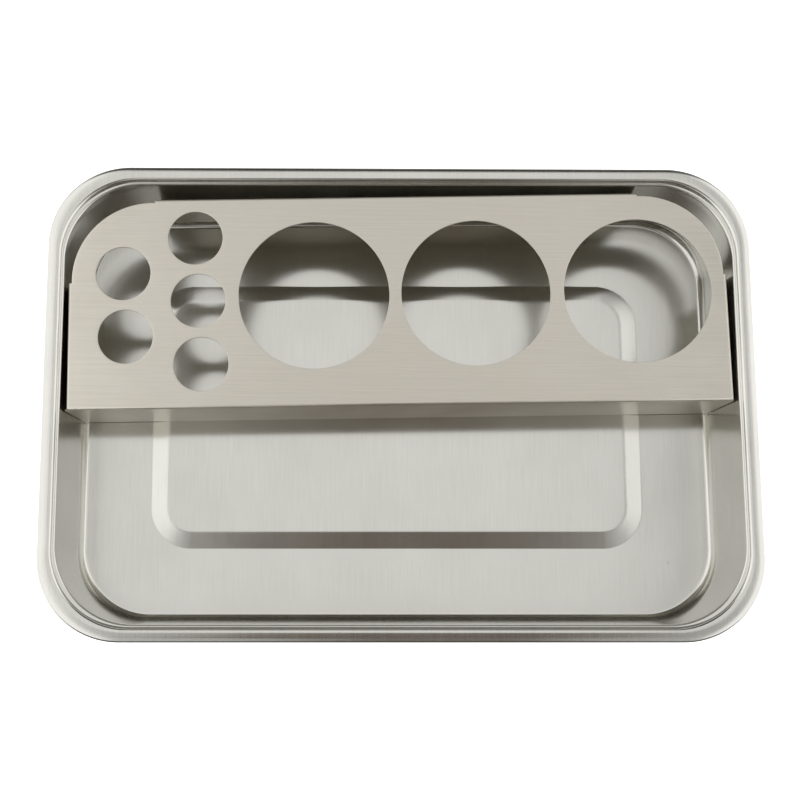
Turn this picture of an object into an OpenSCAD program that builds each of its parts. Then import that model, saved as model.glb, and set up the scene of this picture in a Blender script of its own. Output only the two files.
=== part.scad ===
// Instrument tray of pressed stainless sheet, with a lift-out rack folded from one sheet.
// The rack's deck has three bottle holes and a group of five tube holes.
// Millimetres. +Z is up, X runs along the tray, -Y is the open front half.
// The origin is the middle of the tray's foot, on the table.

/* [Tray] */
// Length over the rolled rim
tray_l = 320; // [310:1:340]
// Width over the rolled rim
tray_w = 215; // [208:1:235]
// Height from the table to the top of the rim
tray_h = 48.5; // [46:0.5:56]
// Thickness of the tray's sheet
tray_sheet = 0.7; // [0.5:0.1:1]
// Corner radius of the rim's outer edge
rim_corner_r = 37.5; // [36:0.5:46]
// Width of the rim, from its outer edge to the inside of the tray
rim_w = 5.4; // [4.6:0.2:6.4]
// Height of the lip that the rim is rolled down to
rim_drop = 4; // [3:0.5:6]
// Corner radius of the tray's inside, just below the rim
wall_corner_r = 38; // [36:0.5:44]
// Width of the small ledge under the rim
ledge_w = 0.9; // [0.5:0.1:1.5]
// Depth of that ledge below the rim's top
ledge_drop = 2.6; // [2:0.2:4]
// Lean of the wall, in degrees from upright
wall_angle = 5.2; // [2:0.1:6]
// Radius of the cove between the wall and the floor
cove_r = 3.9; // [3:0.1:5]

/* [Floor] */
// Length of the stiffening panel, over the foot of its slope
panel_l = 231.4; // [200:0.2:240]
// Width of the stiffening panel, over the foot of its slope
panel_w = 127.2; // [110:0.2:140]
// Corner radius of the panel at the foot of its slope
panel_corner_r = 19; // [14:1:26]
// Width of the slope round the panel
panel_slope_w = 7.2; // [4:0.2:10]
// Height that the panel stands above the floor
panel_rise = 1.2; // [0.6:0.1:2]

/* [Rack] */
// Length over the rack's side flanges
rack_l = 301; // [290:0.5:301]
// Depth from the front flange to the back flange
rack_d = 97; // [90:0.5:97]
// Thickness of the rack's sheet
rack_sheet = 0.8; // [0.6:0.1:1.2]
// Depth of the rack's deck below the rim's top
deck_drop = 5; // [3:0.5:10]
// Outer radius of the rack's bends
bend_r = 1.7; // [1.2:0.1:2.5]
// Radius that the deck's back corners are cut to
deck_corner_r = 36.5; // [30:0.5:40]
// Width of the step where a flange starts beyond a cut corner
flange_step = 1.5; // [1:0.1:2]
// Height of the two side flanges
side_flange_h = 20; // [10:1:22]
// Height of the back flange
back_flange_h = 36.5; // [25:0.5:37]
// Depth of the ears' top below the deck
ear_drop = 3.5; // [3:0.5:8]
// Gap between the ends of the front flange and the tray's wall
end_gap = 0.8; // [0.6:0.1:2]
// Gap left under the front flange, where it stands on the panel
stand_gap = 0.05; // [0:0.05:0.3]
// Turn of the loose rack in the tray, in degrees
rack_turn = 0.84; // [0:0.02:0.9]
// Place of the rack's front flange along the tray's width
rack_front_y = -1.5; // [-3:0.1:-1]

/* [Holes] */
// Diameter of the three bottle holes
bottle_hole_d = 68; // [60:0.5:70]
// Distance between neighbouring bottle holes
bottle_pitch = 73.9; // [72:0.1:76]
// Place of the middle bottle hole along the rack
bottle_mid_x = 35.6; // [30:0.2:38]
// Distance of the bottle holes from the front flange
bottle_y = 51.2; // [48:0.2:54]
// Diameter of the five tube holes
tube_hole_d = 25; // [20:0.5:27]
// Distance between neighbouring tube holes in a column
tube_pitch = 29.6; // [28:0.2:30]
// Distance between the two columns of tube holes
tube_column_gap = 33.7; // [30:0.2:34]
// Place of the three-hole column along the rack
tube_x = -91.2; // [-93:0.2:-90]
// Distance of that column's middle hole from the front flange
tube_y = 49.1; // [47:0.2:51]
// Turn of the group of five on the deck, in degrees
tube_group_turn = 2.6; // [0:0.2:3]

/* [Hidden] */
$fn = 96;
tiny = 0.01;
arc_steps = 6;

// Half sizes of the tray's inside at the rim, where the wall's line starts.
inside_x = tray_l / 2 - rim_w;
inside_y = tray_w / 2 - rim_w;
rim_edge_r = 0.8;
rim_outer_r = 1.5;
rim_lap = 1;
lip_curl_r = 1;
lip_end = 1.4;

floor_z = tray_sheet;
panel_z = floor_z + panel_rise;
cove_mid_z = floor_z + cove_r;
cove_top_z = cove_mid_z - cove_r * sin(wall_angle);
cove_top_u = -ledge_w - (tray_h - ledge_drop - cove_top_z) * tan(wall_angle);
cove_mid_u = cove_top_u - cove_r * cos(wall_angle);
floor_lap = 2;

deck_z = tray_h - deck_drop;
front_foot_z = panel_z + stand_gap;
back_foot_z = deck_z - back_flange_h;
side_foot_z = deck_z - side_flange_h;
ear_z = deck_z - ear_drop;
// Where the side and back flanges end, beside the cut corners.
side_end_y = rack_d - flange_step - deck_corner_r;
back_end_x = rack_l / 2 - flange_step - deck_corner_r;
// Where the flat deck ends and the bends begin.
flat_x = rack_l / 2 - bend_r;
flat_back_y = rack_d - bend_r;
// Room that a cutting block has beyond what it cuts.
room = 1;
bottle_xs = [for (i = [-1:1]) bottle_mid_x + i * bottle_pitch];
tube_places = concat(
    [for (i = [-1:1]) [0, i * tube_pitch]],
    [for (i = [-0.5, 0.5]) [-tube_column_gap, i * tube_pitch]]);

// Points of an arc about c, from angle a0 to a1.
function arc(c, r, a0, a1) =
    [for (i = [0:arc_steps]) let (a = a0 + (a1 - a0) * i / arc_steps) c + r * [cos(a), sin(a)]];

// Unit normal on the left of the line from p to q.
function left_normal(p, q) = let (d = q - p) [-d.y, d.x] / norm(d);

// A line's point i moved sideways by d, so that the new line stays parallel to the old one.
function moved(line, i, d) =
    let (last = len(line) - 1,
         n0 = left_normal(line[max(i - 1, 0)], line[max(i, 1)]),
         n1 = left_normal(line[min(i, last - 1)], line[min(i + 1, last)]),
         m = n0 + n1)
    line[i] + m * (2 * d / (m * m));

// Outline of a bent sheet, t thick, that lies on the left of a line.
function bent_sheet(line, t) =
    concat(line, [for (i = [len(line) - 1:-1:0]) moved(line, i, t)]);

// The inside face of the wall, from the rim down to the floor. u is outward from the inside's edge.
wall_line = concat(
    [[rim_edge_r + rim_lap, tray_h]],
    arc([rim_edge_r, tray_h - rim_edge_r], rim_edge_r, 90, 180),
    [[0, tray_h - ledge_drop + ledge_w], [-ledge_w, tray_h - ledge_drop]],
    arc([cove_mid_u, cove_mid_z], cove_r, -wall_angle, -90),
    [[cove_mid_u - floor_lap, floor_z]]);

// The outside face of the rim, from its flat top round to the tip of the curl. u is outward from the outer edge.
rim_line = concat(
    [[-rim_outer_r - rim_lap, tray_h]],
    arc([-rim_outer_r, tray_h - rim_outer_r], rim_outer_r, 90, 0),
    arc([-lip_curl_r, tray_h - rim_drop + lip_curl_r], lip_curl_r, 0, -90),
    [[-lip_curl_r - lip_end, tray_h - rim_drop]]);

module rounded_rect(half_x, half_y, r) {
    square([2 * (half_x - r), 2 * half_y], center = true);
    square([2 * half_x, 2 * (half_y - r)], center = true);
    for (x = [-1, 1], y = [-1, 1]) translate([x * (half_x - r), y * (half_y - r)]) circle(r);
}

// A section swept round a rounded rectangle. The section's x is outward from that rectangle's edge.
module swept(half_x, half_y, r, section) {
    for (side = [0, 1]) {
        rotate(180 * side) translate([-(half_x - r), half_y, 0]) rotate([90, 0, 90])
            linear_extrude(2 * (half_x - r)) polygon(section);
        rotate(90 + 180 * side) translate([-(half_y - r), half_x, 0]) rotate([90, 0, 90])
            linear_extrude(2 * (half_y - r)) polygon(section);
    }
    for (corner = [0:3])
        let (flip = corner % 2, hx = flip ? half_y : half_x, hy = flip ? half_x : half_y)
        rotate(90 * corner) translate([hx - r, hy - r, 0])
            rotate_extrude(angle = 90) translate([r, 0]) polygon(section);
}

module rim_top() {
    translate([0, 0, tray_h - tray_sheet]) linear_extrude(tray_sheet) difference() {
        rounded_rect(tray_l / 2 - rim_outer_r, tray_w / 2 - rim_outer_r, rim_corner_r - rim_outer_r);
        rounded_rect(inside_x + rim_edge_r, inside_y + rim_edge_r, wall_corner_r + rim_edge_r);
    }
}

module tray_floor() {
    slope_top = panel_slope_w;
    half_x = panel_l / 2;
    half_y = panel_w / 2;
    edge = -cove_mid_u;
    // the flat ring round the panel
    translate([0, 0, floor_z - tray_sheet]) linear_extrude(tray_sheet) difference() {
        rounded_rect(inside_x - edge, inside_y - edge, wall_corner_r - edge);
        rounded_rect(half_x - tiny, half_y - tiny, panel_corner_r - tiny);
    }
    // the slope, and the panel itself
    slope = [[0, floor_z], [-slope_top, panel_z], [-slope_top, panel_z - tray_sheet], [0, floor_z - tray_sheet]];
    swept(half_x, half_y, panel_corner_r, slope);
    translate([0, 0, panel_z - tray_sheet]) linear_extrude(tray_sheet)
        rounded_rect(half_x - slope_top, half_y - slope_top, panel_corner_r - slope_top);
}

module tray() {
    color("silver") union() {
        swept(inside_x, inside_y, wall_corner_r, bent_sheet(wall_line, tray_sheet));
        swept(tray_l / 2, tray_w / 2, rim_corner_r, bent_sheet(rim_line, -tray_sheet));
        rim_top();
        tray_floor();
    }
}

// Solid block under the deck's outer faces, or under its inner faces when t is the sheet's thickness.
module rack_block(t) {
    r = bend_r - t;
    half_x = rack_l / 2 - t;
    top = deck_z - t;
    module arch(x0, x1, z1) {
        translate([x0, 0]) square([x1 - x0, z1 - r]);
        translate([x0 + r, 0]) square([x1 - x0 - 2 * r, z1]);
        for (x = [x0 + r, x1 - r]) translate([x, z1 - r]) circle(r);
    }
    intersection() {
        translate([0, rack_d + room, 0]) rotate([90, 0, 0])
            linear_extrude(rack_d + 2 * room) arch(-half_x, half_x, top);
        translate([-rack_l, 0, 0]) rotate([90, 0, 90])
            linear_extrude(2 * rack_l) arch(t, rack_d - t, top);
    }
}

// What is cut away behind one of the deck's back corners.
module corner_waste() {
    translate([back_end_x, side_end_y]) difference() {
        square(deck_corner_r * 2);
        circle(deck_corner_r);
    }
}

module rack_holes() {
    translate([0, 0, side_foot_z]) {
        for (x = bottle_xs) translate([x, bottle_y, 0]) cylinder(h = tray_h, d = bottle_hole_d);
        translate([tube_x, tube_y, 0]) rotate(tube_group_turn)
            for (p = tube_places) translate(p) cylinder(h = tray_h, d = tube_hole_d);
    }
}

// The folded sheet without its front flange: deck, bends, side flanges and back flange.
module folded_sheet() {
    difference() {
        rack_block(0);
        rack_block(rack_sheet);
        // below the side flanges, below the back flange and below the front bend
        translate([-rack_l, bend_r, -room]) cube([2 * rack_l, rack_d - 2 * bend_r, side_foot_z + room]);
        translate([-rack_l, flat_back_y - tiny, -room]) cube([2 * rack_l, 2 * bend_r, back_foot_z + room]);
        translate([-rack_l, -room, -room]) cube([2 * rack_l, bend_r + room + tiny, ear_z + room]);
        translate([0, 0, -room]) linear_extrude(tray_h) {
            corner_waste();
            mirror([1, 0]) corner_waste();
        }
    }
}

// The regions that part the folded sheet into the flat deck and its flanges with their bends.
module front_region() {
    translate([-rack_l, -room, 0]) cube([2 * rack_l, bend_r + room, tray_h]);
}

module back_region() {
    translate([-back_end_x, flat_back_y, 0]) cube([2 * back_end_x, bend_r + room, tray_h]);
}

module side_region() {
    translate([flat_x, bend_r, 0]) cube([bend_r + room, side_end_y - bend_r, tray_h]);
}

// Half length of the front flange at height z, so that its ends stay clear of the wall.
function end_x(z) = inside_x - ledge_w - end_gap - (tray_h - ledge_drop - z) * tan(wall_angle);

module front_plate() {
    right_end = concat(
        [[end_x(ear_z), ear_z]],
        [for (p = arc([inside_x + cove_mid_u, cove_mid_z], cove_r - end_gap, -wall_angle, -90))
            [p.x, max(p.y, front_foot_z)]],
        [[inside_x + cove_mid_u, front_foot_z]]);
    left_end = [for (i = [len(right_end) - 1:-1:0]) [-right_end[i].x, right_end[i].y]];
    translate([0, rack_sheet, 0]) rotate([90, 0, 0]) linear_extrude(rack_sheet)
        polygon(concat(right_end, left_end));
}

// Stands a part of the rack where the loose rack lies in the tray.
module in_tray() {
    translate([0, rack_front_y, 0]) rotate(rack_turn) children();
}

module rack_deck() {
    color("tan") in_tray() difference() {
        folded_sheet();
        front_region();
        back_region();
        side_region();
        mirror([1, 0, 0]) side_region();
        rack_holes();
    }
}

module rack_front_flange() {
    color("tan") in_tray() union() {
        intersection() {
            folded_sheet();
            front_region();
        }
        front_plate();
    }
}

module rack_back_flange() {
    color("tan") in_tray() intersection() {
        folded_sheet();
        back_region();
    }
}

module rack_side_left() {
    color("tan") in_tray() intersection() {
        folded_sheet();
        mirror([1, 0, 0]) side_region();
    }
}

module rack_side_right() {
    color("tan") in_tray() intersection() {
        folded_sheet();
        side_region();
    }
}

tray();
rack_deck();
rack_front_flange();
rack_back_flange();
rack_side_left();
rack_side_right();
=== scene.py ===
import bpy, bmesh, math
from mathutils import Vector, Matrix


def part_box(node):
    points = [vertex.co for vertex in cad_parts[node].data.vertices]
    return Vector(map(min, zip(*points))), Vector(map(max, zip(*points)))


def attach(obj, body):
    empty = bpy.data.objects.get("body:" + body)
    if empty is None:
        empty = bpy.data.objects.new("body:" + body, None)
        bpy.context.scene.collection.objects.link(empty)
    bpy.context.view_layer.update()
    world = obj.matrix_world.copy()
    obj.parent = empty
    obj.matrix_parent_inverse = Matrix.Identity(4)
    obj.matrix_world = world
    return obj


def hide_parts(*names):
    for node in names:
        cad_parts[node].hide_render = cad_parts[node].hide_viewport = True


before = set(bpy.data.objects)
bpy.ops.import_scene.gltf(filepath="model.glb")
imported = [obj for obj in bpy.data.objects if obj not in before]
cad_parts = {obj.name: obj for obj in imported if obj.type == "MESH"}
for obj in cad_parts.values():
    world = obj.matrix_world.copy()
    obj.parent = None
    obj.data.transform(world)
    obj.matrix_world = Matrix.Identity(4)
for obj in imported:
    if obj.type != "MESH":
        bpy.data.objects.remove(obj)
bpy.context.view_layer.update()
trayLow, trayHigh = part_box("tray")
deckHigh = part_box("rack_deck")[1]
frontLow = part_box("rack_front_flange")[0]

mm = 0.001
rimTop = trayHigh.z
scene = bpy.context.scene
scene.view_settings.view_transform = "Standard"
mirrorBounces = 24  # narrow gaps between steel sheets need this many before they read as metal
scene.cycles.max_bounces = mirrorBounces
scene.cycles.glossy_bounces = mirrorBounces


# small helpers for node trees

def addNode(tree, kind, inputs=None, **settings):
    node = tree.nodes.new(kind)
    for name, value in settings.items():
        setattr(node, name, value)
    for key, value in (inputs or {}).items():
        socket = node.inputs[key]
        if isinstance(value, bpy.types.NodeSocket):
            tree.links.new(value, socket)
        else:
            socket.default_value = value
    return node


def math2(tree, operation, a, b=0.0):
    return addNode(tree, "ShaderNodeMath", {0: a, 1: b}, operation=operation).outputs[0]


def newTree(name, kind, inputs, outputs):
    tree = bpy.data.node_groups.new(name, kind)
    for label, socketKind, value in inputs:
        socket = tree.interface.new_socket(name=label, in_out="INPUT", socket_type=socketKind)
        if value is not None:
            socket.default_value = value
    for label, socketKind in outputs:
        tree.interface.new_socket(name=label, in_out="OUTPUT", socket_type=socketKind)
    return tree, tree.nodes.new("NodeGroupInput"), tree.nodes.new("NodeGroupOutput")


def setInput(modifier, label, value):
    # a modifier's input goes by its socket's identifier, found here from its label
    for item in modifier.node_group.interface.items_tree:
        if item.item_type == "SOCKET" and item.in_out == "INPUT" and item.name == label:
            modifier[item.identifier] = value
            return
    raise KeyError(label)


# shared finishes

grainShape = dict(
    across=2400.0, along=60.0, streakDetail=3.0, streakRough=0.6, fineStep=(2.7, 2.0, 2.0), fineDetail=2.0,
    blotchScale=28.0, blotchDetail=3.0, blotchRough=0.5)


def makeGrainGroup(g):
    # drawn grain: long fine streaks along one axis, with slow blotches between them
    tree, gin, gout = newTree("steelGrain", "ShaderNodeTree", [
        ("Vector", "NodeSocketVector", None),
        ("Across", "NodeSocketFloat", g["across"]),
        ("Along", "NodeSocketFloat", g["along"]),
        ("Turn", "NodeSocketFloat", 0.0)],
        [("Streaks", "NodeSocketFloat"), ("Fine", "NodeSocketFloat"), ("Blotches", "NodeSocketFloat")])
    place = gin.outputs["Vector"]
    turn = addNode(tree, "ShaderNodeVectorRotate", {"Vector": place, "Angle": gin.outputs["Turn"]},
                   rotation_type="Z_AXIS")
    scale = addNode(tree, "ShaderNodeCombineXYZ", {
        "X": gin.outputs["Across"], "Y": gin.outputs["Along"], "Z": gin.outputs["Along"]})
    long = addNode(tree, "ShaderNodeVectorMath", {0: turn.outputs[0], 1: scale.outputs[0]},
                   operation="MULTIPLY")
    streaks = addNode(tree, "ShaderNodeTexNoise", {
        "Vector": long.outputs[0], "Scale": 1.0, "Detail": g["streakDetail"], "Roughness": g["streakRough"]})
    fineScale = addNode(tree, "ShaderNodeVectorMath", {0: long.outputs[0], 1: g["fineStep"]},
                        operation="MULTIPLY")
    fine = addNode(tree, "ShaderNodeTexNoise", {
        "Vector": fineScale.outputs[0], "Scale": 1.0, "Detail": g["fineDetail"]})
    blotches = addNode(tree, "ShaderNodeTexNoise", {
        "Vector": place, "Scale": g["blotchScale"], "Detail": g["blotchDetail"], "Roughness": g["blotchRough"]})
    for label, noise in (("Streaks", streaks), ("Fine", fine), ("Blotches", blotches)):
        tree.links.new(noise.outputs["Fac"], gout.inputs[label])
    return tree


wearShape = dict(
    scratchSize=60.0, bendScale=9.0, bendBy=0.02, thinness=(1.0, 6.0, 6.0), lineWidth=0.012,
    patchScale=45.0, patchFrom=0.62, patchTo=0.74, speckScale=55.0, speckInner=0.03, speckOuter=0.06,
    speckRarity=0.93)


def makeWearGroup(w):
    # sparse short scratches and a few specks, as on a sheet that has been handled
    tree, gin, gout = newTree("handlingMarks", "ShaderNodeTree", [
        ("Vector", "NodeSocketVector", None),
        ("Scratch Size", "NodeSocketFloat", w["scratchSize"]),
        ("Amount", "NodeSocketFloat", 0.1)],
        [("Scratches", "NodeSocketFloat"), ("Specks", "NodeSocketFloat")])
    place = gin.outputs["Vector"]
    bend = addNode(tree, "ShaderNodeTexNoise", {"Vector": place, "Scale": w["bendScale"], "Detail": 1.0})
    push = addNode(tree, "ShaderNodeVectorMath", {0: bend.outputs["Color"], 1: (w["bendBy"],) * 3},
                   operation="MULTIPLY")
    moved = addNode(tree, "ShaderNodeVectorMath", {0: place, 1: push.outputs[0]}, operation="ADD")
    thin = addNode(tree, "ShaderNodeVectorMath", {0: moved.outputs[0], 1: w["thinness"]},
                   operation="MULTIPLY")
    cells = addNode(tree, "ShaderNodeTexVoronoi", {
        "Vector": thin.outputs[0], "Scale": gin.outputs["Scratch Size"]}, feature="DISTANCE_TO_EDGE")
    line = addNode(tree, "ShaderNodeMapRange", {
        "Value": cells.outputs["Distance"], "From Min": 0.0, "From Max": w["lineWidth"],
        "To Min": 1.0, "To Max": 0.0})
    where = addNode(tree, "ShaderNodeTexNoise", {"Vector": place, "Scale": w["patchScale"], "Detail": 2.0})
    rare = addNode(tree, "ShaderNodeMapRange", {
        "Value": where.outputs["Fac"], "From Min": w["patchFrom"], "From Max": w["patchTo"]})
    cut = math2(tree, "MULTIPLY", line.outputs[0], rare.outputs[0])
    scratches = math2(tree, "MULTIPLY", cut, gin.outputs["Amount"])
    dots = addNode(tree, "ShaderNodeTexVoronoi", {"Vector": place, "Scale": w["speckScale"]}, feature="F1")
    speck = addNode(tree, "ShaderNodeMapRange", {
        "Value": dots.outputs["Distance"], "From Min": w["speckInner"], "From Max": w["speckOuter"],
        "To Min": 1.0, "To Max": 0.0})
    pick = addNode(tree, "ShaderNodeSeparateXYZ", {"Vector": dots.outputs["Color"]})
    few = math2(tree, "GREATER_THAN", pick.outputs["X"], w["speckRarity"])
    specks = math2(tree, "MULTIPLY", speck.outputs[0], few)
    tree.links.new(scratches, gout.inputs["Scratches"])
    tree.links.new(specks, gout.inputs["Specks"])
    return tree


grainGroup = makeGrainGroup(grainShape)
wearGroup = makeWearGroup(wearShape)

steelMix = dict(
    streakTone=0.45, blotchTone=0.55, toneFrom=0.35, toneTo=0.65, roughFrom=0.3, roughTo=0.7,
    streakHeight=0.7, fineHeight=0.3, scratchDepth=0.6, grainDepth=0.05 * mm,
    waveDetail=1.0, waveRough=0.4, waveDepth=1.0 * mm)


def steelMaterial(name, look, mix):
    mat = bpy.data.materials.new(name)
    mat.use_nodes = True
    tree = mat.node_tree
    tree.nodes.clear()

    def blend(a, aShare, b, bShare):
        return math2(tree, "ADD", math2(tree, "MULTIPLY", a, aShare), math2(tree, "MULTIPLY", b, bShare))

    coord = addNode(tree, "ShaderNodeTexCoord").outputs["Object"]
    grain = addNode(tree, "ShaderNodeGroup", node_tree=grainGroup)
    tree.links.new(coord, grain.inputs["Vector"])
    for label, key in (("Across", "grainAcross"), ("Along", "grainAlong"), ("Turn", "grainTurn")):
        grain.inputs[label].default_value = look[key]
    wear = addNode(tree, "ShaderNodeGroup", node_tree=wearGroup)
    tree.links.new(coord, wear.inputs["Vector"])
    wear.inputs["Amount"].default_value = look["scratches"]
    streaks, scratches = grain.outputs["Streaks"], wear.outputs["Scratches"]
    # colour: two tones of the same steel, mixed by streaks and blotches, a little darker at specks
    tone = blend(streaks, mix["streakTone"], grain.outputs["Blotches"], mix["blotchTone"])
    spread = addNode(tree, "ShaderNodeMapRange", {
        "Value": tone, "From Min": mix["toneFrom"], "From Max": mix["toneTo"]})
    base = addNode(tree, "ShaderNodeMix", {
        "Factor": spread.outputs[0], "A": (*look["deep"], 1), "B": (*look["pale"], 1)}, data_type="RGBA")
    marks = math2(tree, "ADD", scratches, math2(tree, "MULTIPLY", wear.outputs["Specks"], look["specks"]))
    dull = addNode(tree, "ShaderNodeMix", {
        "Factor": marks, "A": base.outputs["Result"], "B": (*look["mark"], 1)}, data_type="RGBA")
    rough = addNode(tree, "ShaderNodeMapRange", {
        "Value": tone, "From Min": mix["roughFrom"], "From Max": mix["roughTo"],
        "To Min": look["roughLow"], "To Max": look["roughHigh"]})
    # relief: grain and scratches close up, and a slow wave in the sheet
    height = blend(streaks, mix["streakHeight"], grain.outputs["Fine"], mix["fineHeight"])
    cutHeight = math2(tree, "SUBTRACT", height, math2(tree, "MULTIPLY", scratches, mix["scratchDepth"]))
    bump = addNode(tree, "ShaderNodeBump", {
        "Strength": look["grainBump"], "Distance": mix["grainDepth"], "Height": cutHeight})
    wave = addNode(tree, "ShaderNodeTexNoise", {
        "Vector": coord, "Scale": look["waveScale"], "Detail": mix["waveDetail"],
        "Roughness": mix["waveRough"]})
    slow = addNode(tree, "ShaderNodeBump", {
        "Strength": look["waveBump"], "Distance": mix["waveDepth"], "Height": wave.outputs["Fac"],
        "Normal": bump.outputs[0]})
    # brushed steel spreads light across its grain far more than along it
    across = addNode(tree, "ShaderNodeVectorTransform", {"Vector": look["spreadAlong"]},
                     vector_type="VECTOR", convert_from="OBJECT", convert_to="WORLD")
    shader = addNode(tree, "ShaderNodeBsdfPrincipled", {
        "Base Color": dull.outputs["Result"], "Roughness": rough.outputs[0], "Metallic": 1.0,
        "Anisotropic": look["oneWay"], "Tangent": across.outputs[0], "Normal": slow.outputs[0]})
    addNode(tree, "ShaderNodeOutputMaterial", {"Surface": shader.outputs[0]})
    return mat


trayLook = dict(
    deep=(0.565, 0.560, 0.525), pale=(0.615, 0.610, 0.575), mark=(0.40, 0.39, 0.37),
    grainAcross=1500.0, grainAlong=45.0, grainTurn=0.0, grainBump=0.1,
    spreadAlong=(1.0, 0.01, 0.1), oneWay=0.8, roughLow=0.15, roughHigh=0.19,
    scratches=0.12, specks=0.25, waveScale=11.0, waveBump=0.02)
rackLook = dict(
    deep=(0.655, 0.617, 0.545), pale=(0.755, 0.717, 0.640), mark=(0.36, 0.34, 0.30),
    grainAcross=1300.0, grainAlong=26.0, grainTurn=math.radians(90.84), grainBump=0.9,
    spreadAlong=(-0.0147, 1.0, 0.2), oneWay=0.8, roughLow=0.33, roughHigh=0.41,
    scratches=0.16, specks=0.3, waveScale=14.0, waveBump=0.03)
pressedSteel = steelMaterial("pressedSteel", trayLook, steelMix)
foldedSteel = steelMaterial("foldedSteel", rackLook, steelMix)
print("steel finishes made")


# the tray: one profile carried round a rounded rectangle

tray = dict(
    length=trayHigh.x - trayLow.x, width=trayHigh.y - trayLow.y, height=rimTop, sheet=0.7 * mm,
    bow=0.45 * mm, skew=0.7 * mm,
    rimCorner=36.8 * mm, rimFlatIn=4.5 * mm, rimOuterRound=1.0 * mm, rimInnerRound=1.8 * mm,
    rimCrownIn=2.5 * mm, crownTilt=math.radians(4), rimTilt=math.radians(20),
    lipDrop=4.0 * mm, lipCurl=1.0 * mm, lipTip=2.4 * mm,
    ledgeIn=7.6 * mm, ledgeZ=3.0 * mm, ledgeCorner=35.3 * mm,
    wallLean=math.radians(5.0), coveCrease=1.3 * mm, coveRound=5.8 * mm, wallCorner=32.6 * mm,
    coveFootIn=13.9 * mm, coveCorner=31.0 * mm,
    coveTurn=math.radians(42), ledgeTurn=math.radians(85), ledgeShare=0.75,
    panelFootIn=44.1 * mm, panelFootCorner=19.0 * mm, panelTopIn=51.8 * mm, panelTopCorner=12.0 * mm,
    panelRise=1.2 * mm, panelSoft=14 * mm, panelCrisp=5 * mm, cornerFollow=0.8, cornerSteps=40)


def carry(pts, radius, fromTilt, toTilt, steps, hollow, cornerStep=0.0):
    # continues the profile outward along an arc; tilt is the surface's angle from level, and a hollow
    # arc curves upward
    x, z, corner = pts[-1]
    for i in range(steps):
        a0 = fromTilt + (toTilt - fromTilt) * i / steps
        a1 = fromTilt + (toTilt - fromTilt) * (i + 1) / steps
        x -= radius * abs(math.sin(a1) - math.sin(a0))
        z += radius * abs(math.cos(a1) - math.cos(a0)) * (1 if hollow else -1)
        corner += cornerStep
        pts.append((x, z, corner))


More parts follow.
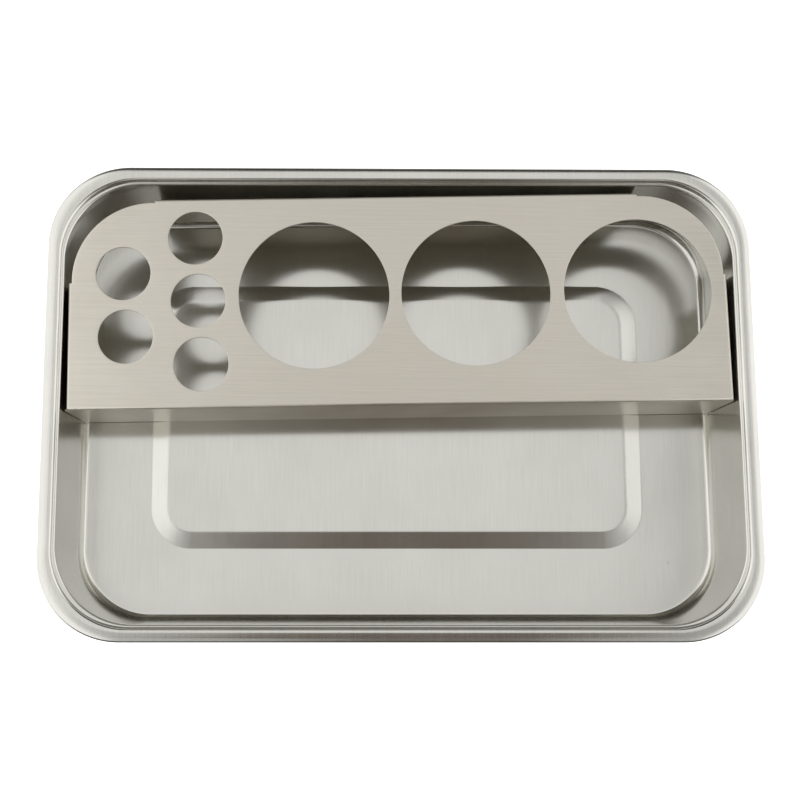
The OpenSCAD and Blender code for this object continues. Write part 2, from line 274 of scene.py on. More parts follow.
def trayProfile(t):
    # (inset from the outer edge, height, corner radius), from the panel's middle out to the lip's tip
    top, floorZ = t["height"], t["sheet"]
    panelZ = floorZ + t["panelRise"]
    follow = t["cornerFollow"]
    panelRun, floorRun = 4 * mm, 3 * mm  # short level stretches that hold the panel's two bends in place
    pts = [(t["width"] / 2, panelZ, 0.0)]
    slope = math.atan2(t["panelRise"], t["panelTopIn"] - t["panelFootIn"])
    pts.append((t["panelTopIn"] + panelRun, panelZ, t["panelTopCorner"] - panelRun * follow))
    # the panel's upper edge is pressed softer than its lower one
    soft, crisp, bendSteps = t["panelSoft"], t["panelCrisp"], 6
    k = soft * math.tan(slope / 2)
    for i in range(bendSteps + 1):
        a = slope * i / bendSteps
        pts.append((t["panelTopIn"] + k - soft * math.sin(a), panelZ - soft * (1 - math.cos(a)),
                    t["panelTopCorner"] - (k - soft * math.sin(a)) * follow))
    k = crisp * math.tan(slope / 2)
    for i in range(bendSteps, -1, -1):
        a = slope * i / bendSteps
        pts.append((t["panelFootIn"] - k + crisp * math.sin(a), floorZ + crisp * (1 - math.cos(a)),
                    t["panelFootCorner"] + (k - crisp * math.sin(a)) * follow))
    pts.append((t["panelFootIn"] - floorRun, floorZ, t["panelFootCorner"] + floorRun * follow))
    # floor, then the cove: a tight crease that opens into a larger round
    for before, smaller in ((4 * mm, 1.0 * mm), (0.5 * mm, 0.1 * mm), (0.0, 0.0)):
        pts.append((t["coveFootIn"] + before, floorZ, t["coveCorner"] - smaller))
    upright = math.radians(90) - t["wallLean"]
    creaseSteps, roundSteps = 7, 9
    grow = (t["wallCorner"] - t["coveCorner"]) / (creaseSteps + roundSteps)
    carry(pts, t["coveCrease"], 0.0, t["coveTurn"], creaseSteps, True, grow)
    carry(pts, t["coveRound"], t["coveTurn"], upright, roundSteps, True, grow)
    # wall, with a few rings between so that its corner radius grows evenly
    foot = pts[-1]
    ledge = (t["ledgeIn"], top - t["ledgeZ"])
    wallSteps = 8
    for i in range(1, wallSteps + 1):
        f = i / wallSteps
        pts.append((foot[0] + (ledge[0] - foot[0]) * f, foot[1] + (ledge[1] - foot[1]) * f,
                    foot[2] + (t["ledgeCorner"] - foot[2]) * f))
    # ledge: a small hollow that turns the wall out to the rim's inner round
    bead = t["rimFlatIn"] + t["rimInnerRound"]
    hollow = (t["ledgeIn"] - bead) * t["ledgeShare"]
    hollowSteps, riseSteps, innerSteps = 5, 3, 9
    hollowEase, riseEase, innerEase = 0.05 * mm, 0.1 * mm, 0.06 * mm  # how the corner tightens at each step
    for i in range(1, hollowSteps + 1):
        a = t["ledgeTurn"] * i / hollowSteps
        pts.append((t["ledgeIn"] - hollow * (1 - math.cos(a)), ledge[1] + hollow * math.sin(a),
                    t["ledgeCorner"] - hollowEase * i))
    start = pts[-1]
    riseBend = 0.7  # below 1, it moves outward sooner than it climbs
    for i in range(1, riseSteps + 1):
        f = i / riseSteps
        pts.append((start[0] + (bead - start[0]) * f ** riseBend,
                    start[1] + (top - t["rimInnerRound"] - start[1]) * f, start[2] - riseEase * i))
    corner = pts[-1][2]
    r = t["rimInnerRound"]
    for i in range(1, innerSteps + 1):
        a = math.radians(90) * i / innerSteps
        pts.append((t["rimFlatIn"] + r * math.cos(a), top - r + r * math.sin(a), corner - innerEase * i))
    # the rim's top falls away a little towards the outside, then turns down to the rolled lip
    r = t["rimOuterRound"]
    gentleSteps, steepSteps, outerSteps = 4, 5, 10
    toOuter = (t["rimCorner"] - r - pts[-1][2] + 0.4 * mm) / (gentleSteps + steepSteps)
    gentle = (t["rimFlatIn"] - t["rimCrownIn"]) / math.sin(t["crownTilt"])
    carry(pts, gentle, 0.0, t["crownTilt"], gentleSteps, False, toOuter)
    reach = t["rimCrownIn"] - r * (1 - math.sin(t["rimTilt"]))
    steeper = reach / (math.sin(t["rimTilt"]) - math.sin(t["crownTilt"]))
    carry(pts, steeper, t["crownTilt"], t["rimTilt"], steepSteps, False, toOuter)
    turnLeft = math.pi / 2 - t["rimTilt"]
    for i in range(1, outerSteps + 1):
        a0 = t["rimTilt"] + turnLeft * (i - 1) / outerSteps
        a1 = t["rimTilt"] + turnLeft * i / outerSteps
        x, z, corner = pts[-1]
        step = r * (math.sin(a1) - math.sin(a0))
        pts.append((x - step, z - r * (math.cos(a0) - math.cos(a1)), min(corner + step, t["rimCorner"])))
    # the lip: straight down, then curled in under the rim
    c, curlSteps = t["lipCurl"], 7
    edge, lipZ = pts[-1][0], top - t["lipDrop"]
    pts.append((edge, lipZ + c, t["rimCorner"]))
    for i in range(1, curlSteps + 1):
        a = math.radians(90) * i / curlSteps
        pts.append((edge + c - c * math.cos(a), lipZ + c - c * math.sin(a),
                    t["rimCorner"] - c + c * math.cos(a)))
    pts.append((t["lipTip"], lipZ, t["rimCorner"] - t["lipTip"]))
    return pts


def makeShellTree():
    # carries a profile round a rounded rectangle whose corner radius may change from point to point
    tree, gin, gout = newTree("pressedShell", "GeometryNodeTree", [
        ("Profile", "NodeSocketGeometry", None),
        ("Length", "NodeSocketFloat", 0.3),
        ("Width", "NodeSocketFloat", 0.2),
        ("Bow", "NodeSocketFloat", 0.0),
        ("Skew", "NodeSocketFloat", 0.0),
        ("Bow Reach", "NodeSocketFloat", 0.014),
        ("Corner Steps", "NodeSocketInt", 16),
        ("Finish", "NodeSocketMaterial", None)],
        [("Shell", "NodeSocketGeometry")])
    profile = gin.outputs["Profile"]
    size = addNode(tree, "GeometryNodeAttributeDomainSize", {"Geometry": profile}, component="MESH")
    count = size.outputs["Point Count"]
    ringEdges = math2(tree, "MULTIPLY", math2(tree, "ADD", gin.outputs["Corner Steps"], 1.0), 4.0)
    grid = addNode(tree, "GeometryNodeMeshGrid", {
        "Size X": math2(tree, "SUBTRACT", count, 1.0), "Size Y": ringEdges,
        "Vertices X": count, "Vertices Y": math2(tree, "ADD", ringEdges, 1.0)})
    # a grid point's place gives its step along the profile and its step round the ring
    place = addNode(tree, "ShaderNodeSeparateXYZ", {
        "Vector": addNode(tree, "GeometryNodeInputPosition").outputs[0]})
    step = math2(tree, "ROUND", math2(tree, "ADD", place.outputs["X"],
                                      math2(tree, "MULTIPLY", math2(tree, "SUBTRACT", count, 1.0), 0.5)))
    around = math2(tree, "ROUND", math2(tree, "ADD", place.outputs["Y"],
                                        math2(tree, "MULTIPLY", ringEdges, 0.5)))
    at = addNode(tree, "GeometryNodeSampleIndex", {
        "Geometry": profile, "Value": addNode(tree, "GeometryNodeInputPosition").outputs[0], "Index": step},
        data_type="FLOAT_VECTOR", domain="POINT")
    ring = addNode(tree, "ShaderNodeSeparateXYZ", {"Vector": at.outputs[0]})
    inset, height, radius = ring.outputs["X"], ring.outputs["Z"], ring.outputs["Y"]
    perCorner = math2(tree, "ADD", gin.outputs["Corner Steps"], 1.0)
    wrapped = math2(tree, "FLOORED_MODULO", around, ringEdges)
    nudge = 0.001  # keeps a whole number from rounding down to the corner before
    corner = math2(tree, "FLOOR", math2(tree, "DIVIDE", math2(tree, "ADD", wrapped, nudge), perCorner))
    inCorner = math2(tree, "SUBTRACT", wrapped, math2(tree, "MULTIPLY", corner, perCorner))
    quarter = math.pi / 2
    base = math2(tree, "MULTIPLY", corner, quarter)
    share = math2(tree, "DIVIDE", inCorner, gin.outputs["Corner Steps"])
    angle = math2(tree, "ADD", base, math2(tree, "MULTIPLY", share, quarter))
    middle = math2(tree, "ADD", base, quarter / 2)
    coords = []
    for name, trig in (("Length", "COSINE"), ("Width", "SINE")):
        half = math2(tree, "SUBTRACT", math2(tree, "MULTIPLY", gin.outputs[name], 0.5), inset)
        centre = math2(tree, "MULTIPLY", math2(tree, "SIGN", math2(tree, trig, middle)),
                       math2(tree, "SUBTRACT", half, radius))
        coords.append(math2(tree, "ADD", centre, math2(tree, "MULTIPLY", radius, math2(tree, trig, angle))))
    # the long sides of a pressed tray stand out a little in the middle, most of all at the rim
    along = math2(tree, "DIVIDE", coords[0], math2(tree, "MULTIPLY", gin.outputs["Length"], 0.5))
    middleShare = math2(tree, "SUBTRACT", 1.0, math2(tree, "MULTIPLY", along, along))
    rimShare = addNode(tree, "ShaderNodeMapRange", {"Value": inset, "From Min": gin.outputs["Bow Reach"],
                                                    "From Max": 0.0, "To Min": 0.0, "To Max": 1.0}).outputs[0]
    bowOut = math2(tree, "MULTIPLY", math2(tree, "MULTIPLY", middleShare, rimShare),
                   math2(tree, "MULTIPLY", gin.outputs["Bow"], math2(tree, "SIGN", coords[1])))
    # and the back one runs slightly out of true
    backShare = math2(tree, "MULTIPLY", math2(tree, "MAXIMUM", math2(tree, "SIGN", coords[1]), 0.0), rimShare)
    skewOut = math2(tree, "MULTIPLY", math2(tree, "MULTIPLY", along, backShare), gin.outputs["Skew"])
    sideY = math2(tree, "SUBTRACT", math2(tree, "ADD", coords[1], bowOut), skewOut)
    where = addNode(tree, "ShaderNodeCombineXYZ", {"X": coords[0], "Y": sideY, "Z": height})
    moved = addNode(tree, "GeometryNodeSetPosition", {
        "Geometry": grid.outputs["Mesh"], "Position": where.outputs[0]})
    joined = addNode(tree, "GeometryNodeMergeByDistance", {
        "Geometry": moved.outputs[0], "Distance": 0.004 * mm})
    smooth = addNode(tree, "GeometryNodeSetShadeSmooth", {"Geometry": joined.outputs[0], "Shade Smooth": True})
    real = addNode(tree, "GeometryNodeRealizeInstances", {"Geometry": smooth.outputs[0]})
    finish = addNode(tree, "GeometryNodeSetMaterial", {
        "Geometry": real.outputs[0], "Material": gin.outputs["Finish"]})
    tree.links.new(finish.outputs[0], gout.inputs["Shell"])
    return tree


def bakeModifiers(obj, name, finish):
    # turns the evaluated object into a plain mesh, and removes the object and its modifiers
    deps = bpy.context.evaluated_depsgraph_get()
    mesh = bpy.data.meshes.new_from_object(obj.evaluated_get(deps), preserve_all_data_layers=True,
                                           depsgraph=deps)
    mesh.name = name
    bpy.data.objects.remove(obj)
    piece = bpy.data.objects.new(name, mesh)
    scene.collection.objects.link(piece)
    mesh.materials.clear()
    mesh.materials.append(finish)
    return piece


def faceOutward(mesh):
    weld, sliver = 0.002 * mm, 0.0005 * mm
    bm = bmesh.new()
    bm.from_mesh(mesh)
    bmesh.ops.remove_doubles(bm, verts=bm.verts, dist=weld)
    bmesh.ops.dissolve_degenerate(bm, dist=sliver, edges=bm.edges)
    bmesh.ops.recalc_face_normals(bm, faces=bm.faces)
    bm.to_mesh(mesh)
    bm.free()


def giveThickness(skin, sheet, name, finish):
    # the skin is the sheet's seen side, so the metal goes behind it
    wall = skin.modifiers.new("sheet", "SOLIDIFY")
    wall.thickness = sheet
    wall.offset = -1
    wall.use_even_offset = True
    return bakeModifiers(skin, name, finish)


def makeTray(t):
    line = bpy.data.meshes.new("trayProfile")
    pts = trayProfile(t)
    line.from_pydata([(p[0], p[2], p[1]) for p in pts], [(i, i + 1) for i in range(len(pts) - 1)], [])
    obj = bpy.data.objects.new("trayProfile", line)
    scene.collection.objects.link(obj)
    sweep = obj.modifiers.new("sweep", "NODES")
    sweep.node_group = makeShellTree()
    for label, value in (("Length", t["length"]), ("Width", t["width"]), ("Bow", t["bow"]), ("Skew", t["skew"]),
                         ("Bow Reach", t["coveFootIn"]), ("Corner Steps", t["cornerSteps"]),
                         ("Finish", pressedSteel)):
        setInput(sweep, label, value)
    skin = bakeModifiers(obj, "trayPan", pressedSteel)
    faceOutward(skin.data)
    panelHalf = 40 * mm  # a patch in the middle of the panel, which has to face up
    up = [p.normal.z for p in skin.data.polygons
          if abs(p.center.x) < panelHalf and abs(p.center.y) < panelHalf]
    if up and sum(up) < 0:
        skin.data.flip_normals()
    pan = giveThickness(skin, t["sheet"], "trayPan", pressedSteel)
    pan.data.shade_smooth()
    pan.data.set_sharp_from_angle(angle=math.radians(50))
    return pan


trayPan = makeTray(tray)
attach(trayPan, "tray")
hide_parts("tray")
print("tray made,", len(trayPan.data.polygons), "faces")


# the rack: one sheet, punched flat and then folded down on four sides

rack = dict(
    turn=math.radians(0.84), front=-2.3 * mm, shift=0.45 * mm, lean=math.radians(1.25),
    top=deckHigh.z, foot=frontLow.z, sheet=0.8 * mm, bend=1.15 * mm, bendSteps=10,
    halfLength=150.5 * mm, depth=97.9 * mm, cornerRadius=36.5 * mm, cornerSteps=40, cutIn=1.5 * mm,
    sideDrop=20.0 * mm, backDrop=36.5 * mm, earDrop=3.5 * mm, endGap=0.7 * mm, foldShort=1.2 * mm,
    mitreGap=0.9 * mm, earFoot=6.0 * mm, earSteps=6, footRings=(4.4 * mm, 3.4 * mm, 2.6 * mm),
    bottleHole=34.0 * mm, bottlePitch=73.9 * mm, bottleMiddle=35.6 * mm, bottleIn=51.6 * mm,
    bottleSpread=0.4 * mm, tubeHole=12.5 * mm, tubePitch=29.6 * mm, tubeColumns=33.7 * mm,
    tubeX=-91.2 * mm, tubeIn=49.7 * mm, tubeTurn=math.radians(2.6),
    collar=1.6 * mm, border=1.2 * mm, edgeRound=0.2 * mm)


def makePunchTree():
    # lays out the holes on the flat deck, fills the sheet round them and joins the folded edges on
    tree, gin, gout = newTree("punchedDeck", "GeometryNodeTree", [
        ("Folds", "NodeSocketGeometry", None),
        ("Outline", "NodeSocketObject", None),
        ("Height", "NodeSocketFloat", 0.04),
        ("Bottle Radius", "NodeSocketFloat", 0.034),
        ("Bottle Spread", "NodeSocketFloat", 0.0),
        ("Bottle Pitch", "NodeSocketFloat", 0.074),
        ("Bottle Place", "NodeSocketVector", (0.0, 0.0, 0.0)),
        ("Tube Radius", "NodeSocketFloat", 0.0125),
        ("Tube Pitch", "NodeSocketFloat", 0.03),
        ("Tube Columns", "NodeSocketFloat", 0.034),
        ("Tube Place", "NodeSocketVector", (0.0, 0.0, 0.0)),
        ("Tube Turn", "NodeSocketFloat", 0.0),
        ("Collar", "NodeSocketFloat", 0.0015),
        ("Finish", "NodeSocketMaterial", None)],
        [("Sheet", "NodeSocketGeometry")])
    g = gin.outputs

    def row(count, spacing, shift):
        start = addNode(tree, "ShaderNodeCombineXYZ", {"X": shift[0], "Y": shift[1]})
        offset = addNode(tree, "ShaderNodeCombineXYZ", {"X": spacing[0], "Y": spacing[1]})
        return addNode(tree, "GeometryNodeMeshLine", {"Count": count, "Start Location": start.outputs[0],
                                                      "Offset": offset.outputs[0]}).outputs[0]

    def centred(points, place, turn):
        return addNode(tree, "GeometryNodeTransform", {
            "Geometry": points, "Translation": place,
            "Rotation": addNode(tree, "ShaderNodeCombineXYZ", {"Z": turn}).outputs[0]}).outputs[0]

    back = math2(tree, "MULTIPLY", g["Bottle Pitch"], -1.0)
    bottles = centred(row(3, (g["Bottle Pitch"], 0.0), (back, 0.0)), g["Bottle Place"], 0.0)
    inner = row(3, (0.0, g["Tube Pitch"]), (0.0, math2(tree, "MULTIPLY", g["Tube Pitch"], -1.0)))
    outer = row(2, (0.0, g["Tube Pitch"]), (math2(tree, "MULTIPLY", g["Tube Columns"], -1.0),
                                            math2(tree, "MULTIPLY", g["Tube Pitch"], -0.5)))
    both = addNode(tree, "GeometryNodeJoinGeometry")
    tree.links.new(inner, both.inputs[0])
    tree.links.new(outer, both.inputs[0])
    tubes = centred(both.outputs[0], g["Tube Place"], g["Tube Turn"])

    def rings(points, radius, segments, spread=None):
        # spread makes the first ring of a row a little larger and the last a little smaller
        ring = addNode(tree, "GeometryNodeCurvePrimitiveCircle", {"Resolution": segments, "Radius": radius},
                       mode="RADIUS")
        on = addNode(tree, "GeometryNodeInstanceOnPoints", {
            "Points": points, "Instance": ring.outputs["Curve"]})
        if spread is not None:
            order = math2(tree, "SUBTRACT", 1.0, addNode(tree, "GeometryNodeInputIndex").outputs[0])
            grow = math2(tree, "MULTIPLY", order, math2(tree, "DIVIDE", spread, radius))
            size = math2(tree, "ADD", 1.0, grow)
            tree.links.new(size, on.inputs["Scale"])
        return addNode(tree, "GeometryNodeRealizeInstances", {"Geometry": on.outputs[0]}).outputs[0]

    def filled(curves):
        group = addNode(tree, "GeometryNodeJoinGeometry")
        for c in curves:
            tree.links.new(c, group.inputs[0])
        return addNode(tree, "GeometryNodeFillCurve", {"Curve": group.outputs[0]}, mode="TRIANGLES").outputs[0]

    bottleCollar = math2(tree, "ADD", g["Bottle Radius"], g["Collar"])
    tubeCollar = math2(tree, "ADD", g["Tube Radius"], g["Collar"])
    outline = addNode(tree, "GeometryNodeObjectInfo", {"Object": g["Outline"]}, transform_space="ORIGINAL")
    edge = addNode(tree, "GeometryNodeMeshToCurve", {"Mesh": outline.outputs["Geometry"]})
    bottleSides, tubeSides = 160, 96
    flat = filled([edge.outputs[0], rings(bottles, bottleCollar, bottleSides, g["Bottle Spread"]),
                   rings(tubes, tubeCollar, tubeSides)])
    bottleRim = filled([rings(bottles, bottleCollar, bottleSides, g["Bottle Spread"]),
                        rings(bottles, g["Bottle Radius"], bottleSides, g["Bottle Spread"])])
    tubeRim = filled([rings(tubes, tubeCollar, tubeSides), rings(tubes, g["Tube Radius"], tubeSides)])
    lift = addNode(tree, "ShaderNodeCombineXYZ", {"Z": g["Height"]})
    deck = addNode(tree, "GeometryNodeJoinGeometry")
    for part in (flat, bottleRim, tubeRim):
        tree.links.new(part, deck.inputs[0])
    raised = addNode(tree, "GeometryNodeTransform", {
        "Geometry": deck.outputs[0], "Translation": lift.outputs[0]})
    whole = addNode(tree, "GeometryNodeJoinGeometry")
    tree.links.new(raised.outputs[0], whole.inputs[0])
    tree.links.new(g["Folds"], whole.inputs[0])
    joined = addNode(tree, "GeometryNodeMergeByDistance", {
        "Geometry": whole.outputs[0], "Distance": 0.01 * mm})
    real = addNode(tree, "GeometryNodeRealizeInstances", {"Geometry": joined.outputs[0]})
    finish = addNode(tree, "GeometryNodeSetMaterial", {
        "Geometry": real.outputs[0], "Material": g["Finish"]})
    tree.links.new(finish.outputs[0], gout.inputs["Sheet"])
    return tree


def wallInset(profile, z):
    # how far the tray's inside stands in from the outer edge at a height, read off the tray's own profile
    wallReach, footInset = 20 * mm, 14 * mm
    for (x0, z0, _), (x1, z1, _) in zip(profile, profile[1:]):
        if z0 <= z <= z1 and x1 <= x0 < wallReach:
            return x0 + (x1 - x0) * (z - z0) / max(z1 - z0, 1e-9)
    return footInset


def movedIn(loop, border):
    # a closed outline moved in by an even border
    inner = []
    for i, (x, y) in enumerate(loop):
        before, after = Vector(loop[i - 1]), Vector(loop[(i + 1) % len(loop)])
        here = Vector((x, y))
        d0, d1 = (here - before).normalized(), (after - here).normalized()
        n0, n1 = Vector((-d0.y, d0.x)), Vector((-d1.y, d1.x))
        m = n0 + n1
        inner.append(here + m * (2 * border / m.dot(m)))
    return inner


def makeRack(r, t):
    top, b = r["top"], r["bend"]
    bx, by = r["halfLength"] - b, r["depth"] - b
    cx, cy = r["halfLength"] - r["cutIn"], r["depth"] - r["cutIn"]
    rad, around = r["cornerRadius"], r["cornerSteps"]
    sideEnd, backEnd = cy - rad - r["foldShort"], cx - rad - r["foldShort"]
    # right half of the deck's edge, from the middle of the front round to the middle of the back
    right = [(0.0, b), (bx, b), (bx, sideEnd), (cx, sideEnd), (cx, cy - rad)]
    for i in range(1, around + 1):
        a = math.radians(90) * i / around
        right.append((cx - rad + rad * math.cos(a), cy - rad + rad * math.sin(a)))
    right += [(backEnd, cy), (backEnd, by), (0.0, by)]
    loop = right + [(-x, y) for x, y in reversed(right[1:-1])]
    n = len(loop)
    inner = movedIn(loop, r["border"])  # so that the filled middle keeps clear of the folds
    bm = bmesh.new()
    outer = [bm.verts.new((x, y, top)) for x, y in loop]
    inset = [bm.verts.new((p.x, p.y, top)) for p in inner]
    for i in range(n):
        j = (i + 1) % n
        bm.faces.new((outer[i], outer[j], inset[j], inset[i]))

    def fold(verts, out, drop, ends=None, lean=0.0):
        # carries an edge of the deck over the bend and down; ends names the vertices that keep to a mitre
        rows = [verts]
        for k in range(1, r["bendSteps"] + 1):
            a = math.radians(90) * k / r["bendSteps"]
            side, down = b * math.sin(a), b * (1 - math.cos(a))
            line = []
            for q, v in enumerate(verts):
                slide = Vector((0, 0, 0))
                if ends and q in ends:
                    slide = Vector(ends[q]) * side
                line.append(bm.verts.new(v.co + Vector(out) * side + slide - Vector((0, 0, down))))
            for q in range(len(verts) - 1):
                bm.faces.new((rows[-1][q], rows[-1][q + 1], line[q + 1], line[q]))
            rows.append(line)
        if drop:
            last = rows[-1]
            foot = math.tan(lean) * (drop - b)
            extra = [bm.verts.new(Vector((v.co.x, v.co.y, top - drop)) + Vector(out) * foot) for v in last]
            for q, toward in (ends or {}).items():
                extra[q].co += Vector(toward) * -r["mitreGap"]  # the side flange stops behind the front one
            for q in range(len(last) - 1):
                bm.faces.new((last[q], last[q + 1], extra[q + 1], extra[q]))
            rows.append(extra)
        return rows

    def find(x, y):
        return min(outer, key=lambda v: (v.co.x - x) ** 2 + (v.co.y - y) ** 2)

    fold([find(bx, b), find(bx, sideEnd)], (1, 0, 0), r["sideDrop"], {0: (0, -1, 0)})
    fold([find(-bx, sideEnd), find(-bx, b)], (-1, 0, 0), r["sideDrop"], {1: (0, -1, 0)})
    fold([find(backEnd, by), find(0.0, by), find(-backEnd, by)], (0, 1, 0), r["backDrop"], None, r["lean"])
    front = fold([find(-bx, b), find(0.0, b), find(bx, b)], (0, -1, 0), 0, {0: (-1, 0, 0), 2: (1, 0, 0)})
    # front flange: down to the panel, its ends cut to the tray's wall
    edge = front[-1]
    earZ = top - r["earDrop"]
    profile = trayProfile(t)

    def endX(z, side):
        return side * (t["length"] / 2 - wallInset(profile, z) - r["endGap"]) - r["shift"]

    def flangeY(z):
        return (edge[1].co.z - z) * math.tan(r["lean"])  # both long flanges lean back a little

    earStep = (earZ - r["earFoot"]) / r["earSteps"]
    heights = [earZ - earStep * i for i in range(r["earSteps"] + 1)] + [*r["footRings"], r["foot"]]
    rightEnd = [bm.verts.new((endX(z, 1), flangeY(z), z)) for z in heights]
    leftEnd = [bm.verts.new((endX(z, -1), flangeY(z), z)) for z in heights]
    rightNotch = bm.verts.new((edge[2].co.x, flangeY(earZ), earZ))
    leftNotch = bm.verts.new((edge[0].co.x, flangeY(earZ), earZ))
    middle = [bm.verts.new((0, flangeY(z), z)) for z in heights]
    bm.faces.new((edge[0], edge[1], middle[0], leftNotch))
    bm.faces.new((edge[1], edge[2], rightNotch, middle[0]))
    bm.faces.new((leftNotch, middle[0], middle[1], leftEnd[1], leftEnd[0]))
    bm.faces.new((middle[0], rightNotch, rightEnd[0], rightEnd[1], middle[1]))
    for i in range(1, len(heights) - 1):
        bm.faces.new((leftEnd[i], middle[i], middle[i + 1], leftEnd[i + 1]))
        bm.faces.new((middle[i], rightEnd[i], rightEnd[i + 1], middle[i + 1]))
    folds = bpy.data.meshes.new("rackFolds")
    bm.to_mesh(folds)
    bm.free()
    outlineMesh = bpy.data.meshes.new("rackOutline")
    outlineMesh.from_pydata([(p.x, p.y, 0) for p in inner], [(i, (i + 1) % n) for i in range(n)], [])
    outlineObj = bpy.data.objects.new("rackOutline", outlineMesh)
    scene.collection.objects.link(outlineObj)
    obj = bpy.data.objects.new("rackFolds", folds)
    scene.collection.objects.link(obj)
    punch = obj.modifiers.new("punch", "NODES")
    punch.node_group = makePunchTree()
    for label, value in (("Outline", outlineObj), ("Height", top), ("Bottle Radius", r["bottleHole"]),
                         ("Bottle Spread", r["bottleSpread"]), ("Bottle Pitch", r["bottlePitch"]),
                         ("Bottle Place", (r["bottleMiddle"], r["bottleIn"], 0.0)),
                         ("Tube Radius", r["tubeHole"]), ("Tube Pitch", r["tubePitch"]),
                         ("Tube Columns", r["tubeColumns"]), ("Tube Place", (r["tubeX"], r["tubeIn"], 0.0)),
                         ("Tube Turn", r["tubeTurn"]), ("Collar", r["collar"]), ("Finish", foldedSteel)):
        setInput(punch, label, value)
    skin = bakeModifiers(obj, "bottleRack", foldedSteel)
    bpy.data.objects.remove(outlineObj)
    faceOutward(skin.data)
    if sum(p.normal.z * p.area for p in skin.data.polygons) < 0:
        skin.data.flip_normals()
    solid = giveThickness(skin, r["sheet"], "bottleRack", foldedSteel)
    # break every cut edge a little, then stand the rack in the tray
    sharp = math.radians(60)
    bm = bmesh.new()
    bm.from_mesh(solid.data)
    cut = [e for e in bm.edges if len(e.link_faces) == 2 and e.calc_face_angle(0) > sharp]
    bmesh.ops.bevel(bm, geom=cut, offset=r["edgeRound"], segments=2, profile=0.5, affect="EDGES",
                    clamp_overlap=False)
    stand = Matrix.Translation((r["shift"], r["front"], 0)) @ Matrix.Rotation(r["turn"], 4, "Z")
    bmesh.ops.transform(bm, matrix=stand, verts=bm.verts)
    bm.to_mesh(solid.data)
    bm.free()
    solid.data.shade_smooth()
    solid.data.set_sharp_from_angle(angle=math.radians(40))
    even = solid.modifiers.new("even", "WEIGHTED_NORMAL")
    even.keep_sharp = True
    even.weight = 100
    return bakeModifiers(solid, "bottleRack", foldedSteel)


bottleRack = makeRack(rack, tray)
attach(bottleRack, "rack")
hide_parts("rack_deck", "rack_front_flange", "rack_back_flange", "rack_side_left",
            "rack_side_right")
print("rack made,", len(bottleRack.data.polygons), "faces")


# studio: white table, soft boxes and the dark shapes that stand round the table

table = dict(
    half=3.0, drop=0.1 * mm, cloudScale=3.0, cloudDetail=2.0, dull=(0.90, 0.90, 0.90, 1),
    bright=(0.94, 0.94, 0.94, 1), rough=0.9, mirrored=(0.42, 0.42, 0.42, 1), seen=(1, 1, 1, 1), glow=0.8)


def makeTable(s):
    mesh = bpy.data.meshes.new("studioTable")
    bm = bmesh.new()
    bmesh.ops.create_grid(bm, x_segments=8, y_segments=8, size=s["half"],
                          matrix=Matrix.Translation((0, 0, -s["drop"])))
    bm.to_mesh(mesh)
    bm.free()
    obj = bpy.data.objects.new("studioTable", mesh)
    scene.collection.objects.link(obj)
    mat = bpy.data.materials.new("whiteTable")
    mat.use_nodes = True
    tree = mat.node_tree
    shader = tree.nodes["Principled BSDF"]
    cloud = addNode(tree, "ShaderNodeTexNoise", {
        "Vector": addNode(tree, "ShaderNodeTexCoord").outputs["Object"],
        "Scale": s["cloudScale"], "Detail": s["cloudDetail"]})
    pale = addNode(tree, "ShaderNodeMix", {"Factor": cloud.outputs["Fac"], "A": s["dull"], "B": s["bright"]},
                   data_type="RGBA")
    tree.links.new(pale.outputs["Result"], shader.inputs["Base Color"])
    shader.inputs["Roughness"].default_value = s["rough"]
    # seen directly the table glows to a clean white, but the steel mirrors a calmer one
    direct = addNode(tree, "ShaderNodeLightPath").outputs["Is Camera Ray"]
    glow = addNode(tree, "ShaderNodeMix", {"Factor": direct, "A": s["mirrored"], "B": s["seen"]},
                   data_type="RGBA")
    tree.links.new(glow.outputs["Result"], shader.inputs["Emission Color"])
    shader.inputs["Emission Strength"].default_value = s["glow"]
    # looked at from below, the table gives way so that the tray's underside shows
    clear = addNode(tree, "ShaderNodeBsdfTransparent")
    below = addNode(tree, "ShaderNodeNewGeometry").outputs["Backfacing"]
    sided = addNode(tree, "ShaderNodeMixShader", {0: below, 1: shader.outputs[0], 2: clear.outputs[0]})
    tree.links.new(sided.outputs[0], tree.nodes["Material Output"].inputs["Surface"])
    mesh.materials.append(mat)


def softBox(name, place, aim, size, radiance):
    light = bpy.data.lights.new(name, "AREA")
    light.shape = "RECTANGLE"
    light.size, light.size_y = size
    light.energy = radiance * math.pi * size[0] * size[1]
    obj = bpy.data.objects.new(name, light)
    obj.location = place
    obj.rotation_euler = (Vector(aim) - Vector(place)).to_track_quat("-Z", "Y").to_euler()
    scene.collection.objects.link(obj)
    obj.visible_camera = False


def darkCard(name, corners, colour):
    # seen in the steel's reflections, never by the camera or in the table's white
    mesh = bpy.data.meshes.new(name)
    mesh.from_pydata(corners, [], [(0, 1, 2, 3)])
    obj = bpy.data.objects.new(name, mesh)
    scene.collection.objects.link(obj)
    mat = bpy.data.materials.new(name)
    mat.use_nodes = True
    tree = mat.node_tree
    tree.nodes.clear()
    glow = addNode(tree, "ShaderNodeEmission", {"Color": (*colour, 1), "Strength": 1.0})
    addNode(tree, "ShaderNodeOutputMaterial", {"Surface": glow.outputs[0]})
    mesh.materials.append(mat)
    obj.visible_camera = False
    obj.visible_diffuse = False
    obj.visible_transmission = False


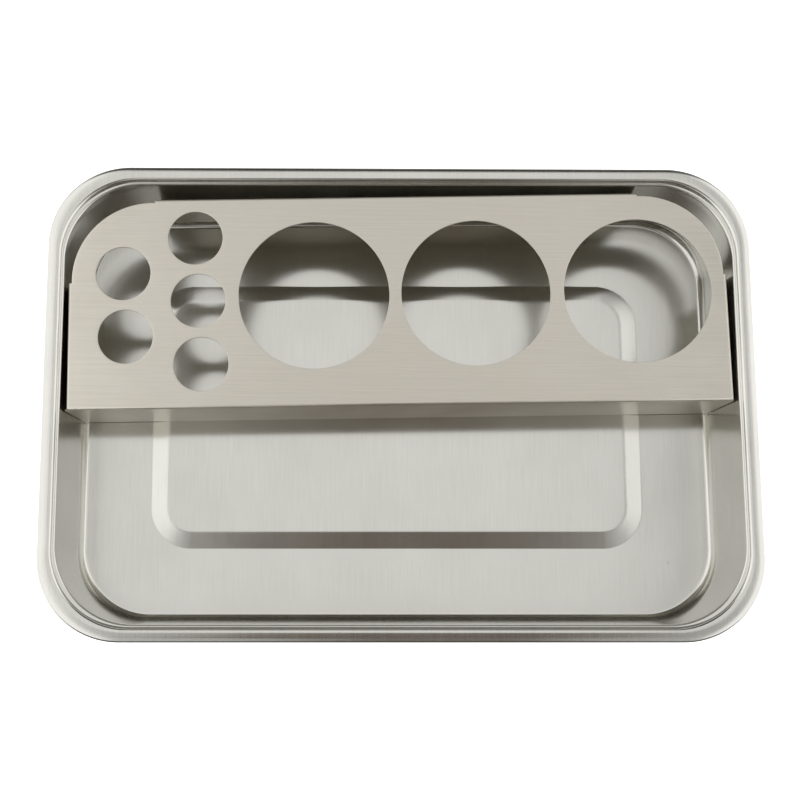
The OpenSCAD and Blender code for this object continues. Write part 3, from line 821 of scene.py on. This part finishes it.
def makeRoom(zenith, horizon, spread, tint):
    # the room is dimmer straight overhead than low down, where white paper stands round the table
    world = bpy.data.worlds.new("room")
    scene.world = world
    world.use_nodes = True
    tree = world.node_tree
    height = addNode(tree, "ShaderNodeSeparateXYZ", {
        "Vector": addNode(tree, "ShaderNodeTexCoord").outputs["Generated"]})
    level = addNode(tree, "ShaderNodeMapRange", {
        "Value": height.outputs["Z"], "From Min": 0.0, "From Max": spread, "To Min": horizon, "To Max": zenith})
    tree.links.new(level.outputs[0], tree.nodes["Background"].inputs["Strength"])
    tree.nodes["Background"].inputs["Color"].default_value = tint


room = dict(zenith=0.56, horizon=1.05, spread=0.30, tint=(1.0, 0.995, 0.98, 1))
softBoxes = dict(
    overhead=dict(place=(0.0175, 0.23, 0.75), aim=(0.0175, 0.23, 0.0), size=(0.565, 0.65), radiance=0.46),
    leftBox=dict(place=(-0.755, 0.05, 0.40), aim=(-0.135, 0.05, -0.39), size=(1.4, 1.13), radiance=0.90),
    rightBox=dict(place=(0.82, 0.05, 0.40), aim=(0.14, 0.05, -0.335), size=(1.4, 1.03), radiance=0.90))
skinTone, coatTone = (0.17, 0.14, 0.118), (0.17, 0.14, 0.12)
# each card's corners and colour: the worker who bends over the tray, then what stands low round the table
darkCards = dict(
    worker=([(-0.115, -0.095, 0.72), (0.24, -0.095, 0.72), (0.23, -0.27, 0.72), (-0.18, -0.27, 0.72)],
            skinTone),
    workerChest=([(-0.18, -0.27, 0.72), (0.23, -0.27, 0.72), (0.17, -0.42, 0.70), (-0.05, -0.42, 0.70)],
                 skinTone),
    workerBody=([(-0.05, -0.42, 0.70), (0.17, -0.42, 0.70), (0.20, -0.75, 0.35), (-0.08, -0.75, 0.35)],
                coatTone),
    frontLow=([(-0.80, -0.78, 0.003), (0.80, -0.78, 0.003), (0.80, -0.78, 0.40), (-0.80, -0.78, 0.40)],
              (0.06, 0.055, 0.05)),
    frontTable=([(-0.80, -0.78, 0.003), (0.80, -0.78, 0.003), (0.30, -0.13, 0.003), (-0.30, -0.13, 0.003)],
                (0.05, 0.05, 0.045)),
    backGap=([(-0.62, 0.95, 0.36), (0.62, 0.95, 0.36), (0.62, 0.95, 1.02), (-0.62, 0.95, 1.02)],
             (0.07, 0.07, 0.06)),
    backTable=([(-0.62, 0.95, 0.003), (0.62, 0.95, 0.003), (0.30, 0.13, 0.003), (-0.30, 0.13, 0.003)],
               (0.10, 0.10, 0.09)))

makeTable(table)
makeRoom(**room)
for name, box in softBoxes.items():
    softBox(name, **box)
for name, (corners, colour) in darkCards.items():
    darkCard(name, corners, colour)
print("studio set")

view = dict(place=(-0.02464, -0.11699), aboveRim=0.66441, tilt=math.radians(10.654),
            sensor=36, lens=67.896, shift=(0.0692, -0.0243), far=50)
camera = bpy.data.objects.new("camera", bpy.data.cameras.new("camera"))
scene.collection.objects.link(camera)
camera.location = (*view["place"], view["aboveRim"] + rimTop)
camera.rotation_euler = (view["tilt"], 0, 0)
camera.data.sensor_width = view["sensor"]
camera.data.lens = view["lens"]
camera.data.shift_x, camera.data.shift_y = view["shift"]
camera.data.clip_end = view["far"]
scene.camera = camera
print("camera placed")
